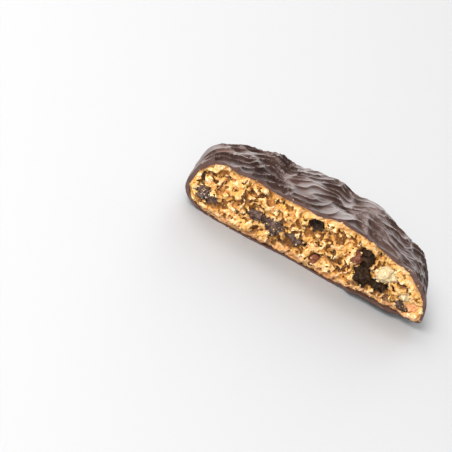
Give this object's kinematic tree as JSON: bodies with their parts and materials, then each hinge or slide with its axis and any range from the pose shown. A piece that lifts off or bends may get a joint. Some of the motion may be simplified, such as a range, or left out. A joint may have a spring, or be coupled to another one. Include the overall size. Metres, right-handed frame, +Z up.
{
  "type": "chocolate cookie",
  "caption": "Half of a domed cookie in dark chocolate, broken across its middle, with open golden crumb, chocolate chunks, dried fruit and nut showing in the broken face.",
  "frame": {"origin": "centre of the footprint's bounding rectangle, on the surface that the cookie rests on", "axes": "+X along the broken face towards its tapering end, -Y out of the broken face, +Z up"},
  "size_m": [0.0704, 0.0372, 0.0174],
  "materials": {
    "coat": "dark chocolate, satin gloss",
    "crumb": "baked crumb, matte and porous",
    "chunk": "broken dark chocolate, dull",
    "dark_fruit": "dried dark fruit, slightly sticky",
    "red_fruit": "dried red fruit, slightly sticky",
    "nut": "broken pale nut, dull"
  },
  "bodies": {
    "root": {"chocolate_coat": "coat", "biscuit_crumb": "crumb", "chocolate_chunk_left_end": "chunk", "chocolate_chunk_middle": "chunk", "chocolate_chunk_middle_small": "chunk", "chocolate_chunk_low": "chunk", "chocolate_chunk_low_right": "chunk", "dark_fruit_upper": "dark_fruit", "dark_fruit_lower": "dark_fruit", "dark_fruit_tail": "dark_fruit", "nut_piece": "nut", "nut_piece_small": "nut", "red_fruit_upper": "red_fruit", "red_fruit_low": "red_fruit", "red_fruit_right_end": "red_fruit"}
  },
  "joints": []
}
